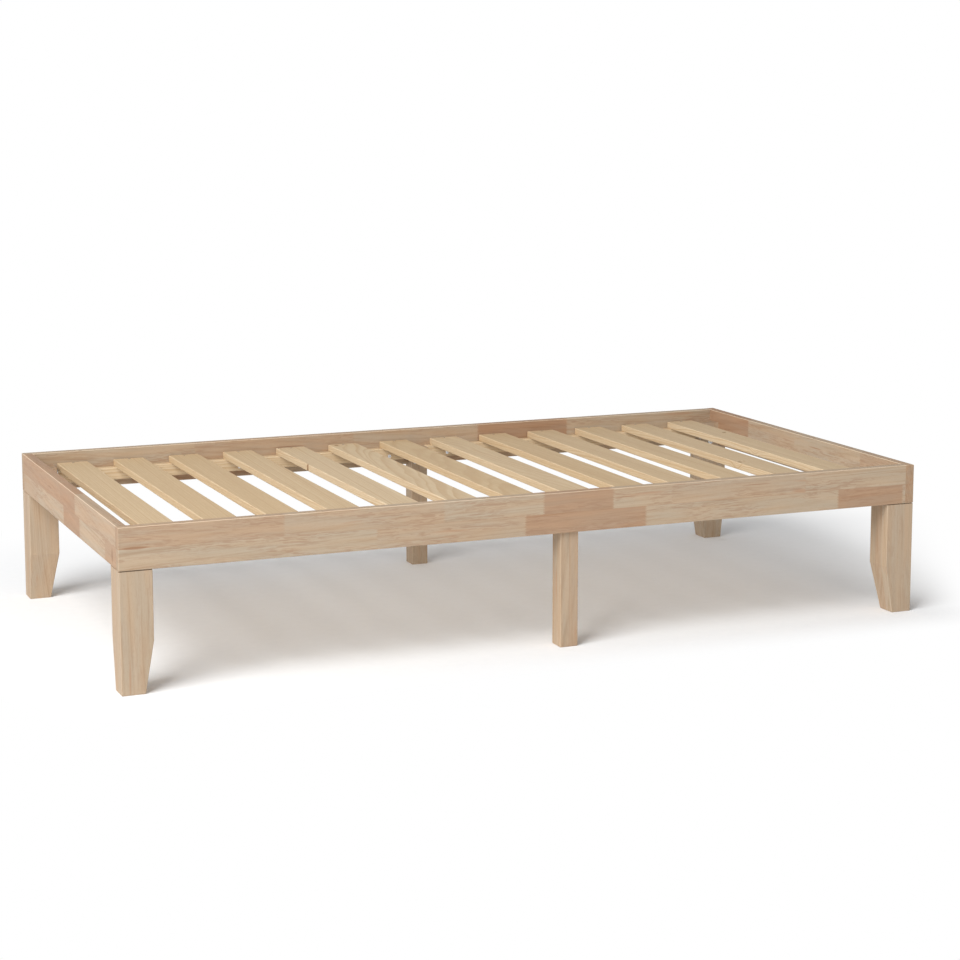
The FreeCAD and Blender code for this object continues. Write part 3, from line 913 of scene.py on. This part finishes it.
def all_fasteners():
    """Every screw, bolt, washer and insert of the frame."""
    zinc = plated("zinc_plated_steel", ZINC_PALE, ZINC_DULL)
    yellow_zinc = plated("yellow_zinc_insert", YELLOW_ZINC_PALE, YELLOW_ZINC_DULL)
    screw = cross_recess_screw()
    bolt = hex_socket_bolt()
    recess = {"Recess Span": SCREW_RECESS_SPAN, "Recess Width": SCREW_RECESS_WIDTH,
              "Recess Depth": SCREW_RECESS_DEPTH}
    shanks = {"slat_screws": SLAT_SCREW_SHANK, "ledger_screws": LEDGER_SCREW_SHANK}
    for seed, (node, shank) in enumerate(shanks.items()):
        head, length = fastener_size(node)
        sizes = {"Head Diameter": head, "Shank Diameter": shank, "Length": length, **recess}
        set_fasteners("cross_head_" + node, node, screw, sizes, zinc, seed)
    bolt_sizes = {"Head Height": BOLT_HEAD_HEIGHT, "Head Rim": BOLT_HEAD_RIM,
                  "Dome Radius": BOLT_DOME_RADIUS, "Shank Diameter": BOLT_SHANK,
                  "Socket Width": BOLT_SOCKET_WIDTH, "Socket Depth": BOLT_SOCKET_DEPTH,
                  "Thread Length": BOLT_THREAD_LENGTH}
    for seed, node in enumerate(["side_rail_bolts", "end_rail_bolts", "mid_leg_bolts"], start=BOLT_SEED):
        head, length = fastener_size(node)
        sizes = {"Head Diameter": head, "Length": length, **bolt_sizes}
        set_fasteners("hex_socket_" + node, node, bolt, sizes, zinc, seed)
    outer, thickness = fastener_size("bolt_washers")
    sizes = {"Outer Diameter": outer, "Bore": WASHER_BORE, "Thickness": thickness,
             "Edge Radius": WASHER_EDGE}
    set_fasteners("flat_bolt_washers", "bolt_washers", flat_washer(), sizes, zinc, WASHER_SEED)
    outer, length = fastener_size("bolt_inserts")
    sizes = {"Outer Diameter": outer, "Bore": WASHER_BORE, "Length": length,
             "Thread Depth": INSERT_THREAD_DEPTH}
    set_fasteners("threaded_bolt_inserts", "bolt_inserts", threaded_insert(), sizes, yellow_zinc,
                  INSERT_SEED)


# Finishes on the wooden pieces

def dress(nodes, material):
    """Gives the wooden pieces their finish."""
    for node in nodes:
        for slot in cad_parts[node].material_slots:
            slot.material = material


def dress_wood():
    """Rubberwood on the rails and legs, pine on the slats and ledgers."""
    rubberwood = rubberwood_figure()
    pine = pine_figure()
    rails = [("side_rail_right", "XZY", NEAR_RAIL_STAVES, NEAR_RAIL_STREAKS),
             ("side_rail_left", "XZY", FAR_RAIL_STAVES, FAR_RAIL_STREAKS),
             ("foot_rail", "YZX", FOOT_RAIL_STAVES, FOOT_RAIL_STREAKS),
             ("head_rail", "YZX", HEAD_RAIL_STAVES, HEAD_RAIL_STREAKS)]
    for node, order, rows, streaks in rails:
        layout = listed_staves(rows, streaks, node, order)
        dress([node], wood("rubberwood_" + node, rubberwood, order, layout, **RAIL_FINISH))
    corner_legs = [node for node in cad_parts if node.startswith("leg_")]
    leg_layout = glued_staves(LEG_STAVE, corner_legs[0], "ZYX")
    dress(corner_legs, wood("rubberwood_corner_leg", rubberwood, "ZYX", leg_layout, **LEG_FINISH))
    mid_legs = [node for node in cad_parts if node.startswith("mid_leg_") and "bolts" not in node]
    mid_leg_layout = glued_staves(MID_LEG_STAVE, mid_legs[0], "ZXY")
    dress(mid_legs, wood("rubberwood_mid_leg", rubberwood, "ZXY", mid_leg_layout, **LEG_FINISH))
    slats = sorted(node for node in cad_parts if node.startswith("slat_") and node != "slat_screws")
    middles = [sum(corner.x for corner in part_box(node)) / 2 for node in slats]
    slat_layout = single_boards(middles[0], middles[1] - middles[0])
    dress(slats, wood("planed_pine_slat", pine, "YXZ", slat_layout, **BARE_FINISH))
    ledgers = [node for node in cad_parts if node.startswith("ledger_") and node != "ledger_screws"]
    ledger_layout = boards_by_quarter(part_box("mid_leg_right")[0].x)
    dress(ledgers, wood("planed_pine_ledger", pine, "XYZ", ledger_layout, **BARE_FINISH))


# Studio

def studio_floor():
    """A pale floor that glows white away from the bed, which paints out the bed's cast shadow there."""
    bpy.ops.mesh.primitive_plane_add(size=FLOOR_SIZE)
    floor = bpy.context.object
    floor.name = "studio_floor"
    material = bpy.data.materials.new("pale_floor")
    material.use_nodes = True
    w = Wiring(material.node_tree)
    shader = material.node_tree.nodes["Principled BSDF"]
    place = w.add("ShaderNodeTexCoord").outputs["Object"]
    speckle = w.noise(place, FLOOR_GRAIN)
    w.feed(shader.inputs["Base Color"], w.ramp(speckle, FLOOR_SPECKLE))
    shader.inputs["Roughness"].default_value = FLOOR_ROUGHNESS
    shader.inputs["Specular IOR Level"].default_value = FLOOR_SPECULAR
    # Painted light: this glow washes out the shadow on the floor beyond the bed
    glow = w.add("ShaderNodeEmission", {"Color": opaque(WHITE), "Strength": 1.0})
    half_length, half_width = cad_box[1][0], cad_box[1][1]
    beyond = w.vector_math("SUBTRACT", w.vector_math("ABSOLUTE", place), (half_length, half_width, 0.0))
    from_bed = w.vector_math("LENGTH", w.vector_math("MAXIMUM", beyond, (0.0, 0.0, 0.0)))
    reach = w.remap(w.split(place)[1], -half_width, half_width, *FLOOR_GLOW_REACH, smooth=False)
    glow_share = w.remap(w.math("DIVIDE", from_bed, reach), 0.0, 1.0)
    floor_with_glow = w.add("ShaderNodeMixShader", {0: glow_share, 1: shader.outputs[0], 2: glow.outputs[0]})
    output = material.node_tree.nodes["Material Output"]
    w.feed(output.inputs["Surface"], floor_with_glow.outputs[0])
    floor.data.materials.append(material)


def studio_world():
    """A white backdrop that rises from the floor to a dim ceiling."""
    world = bpy.data.worlds.new("white_studio")
    bpy.context.scene.world = world
    world.use_nodes = True
    w = Wiring(world.node_tree)
    background = world.node_tree.nodes["Background"]
    rise = w.split(w.add("ShaderNodeTexCoord").outputs["Generated"])[2]
    w.feed(background.inputs["Strength"], w.remap(rise, *BACKDROP_FADE, 1.0, CEILING_STRENGTH))
    background.inputs["Color"].default_value = opaque(WHITE)


def soft_light(name, place, target, size, power, colour):
    """A large square lamp that looks at a target."""
    lamp = bpy.data.lights.new(name, "AREA")
    lamp.size = size
    lamp.energy = power
    lamp.color = colour
    light = bpy.data.objects.new(name, lamp)
    light.location = place
    light.rotation_euler = (Vector(target) - Vector(place)).to_track_quat("-Z", "Y").to_euler()
    light.visible_camera = False
    bpy.context.scene.collection.objects.link(light)


def studio_camera():
    """Low and from the foot end's right, as the photograph was taken."""
    camera = bpy.data.cameras.new("camera")
    camera.sensor_width = CAMERA_SENSOR
    camera.lens = CAMERA_LENS
    camera.shift_x, camera.shift_y = CAMERA_SHIFT
    camera.clip_end = CAMERA_REACH
    view = bpy.data.objects.new("camera", camera)
    view.location = CAMERA_PLACE
    view.rotation_euler = (math.radians(90.0 - CAMERA_PITCH), 0.0, math.radians(-CAMERA_YAW))
    bpy.context.scene.collection.objects.link(view)
    bpy.context.scene.camera = view


def studio():
    """The floor, backdrop, lamp and camera."""
    studio_floor()
    studio_world()
    soft_light("foot_end_key", KEY_PLACE, KEY_TARGET, KEY_SIZE, KEY_POWER, KEY_COLOUR)
    studio_camera()
    bpy.context.scene.view_settings.view_transform = "Standard"


dress_wood()
all_fasteners()
studio()
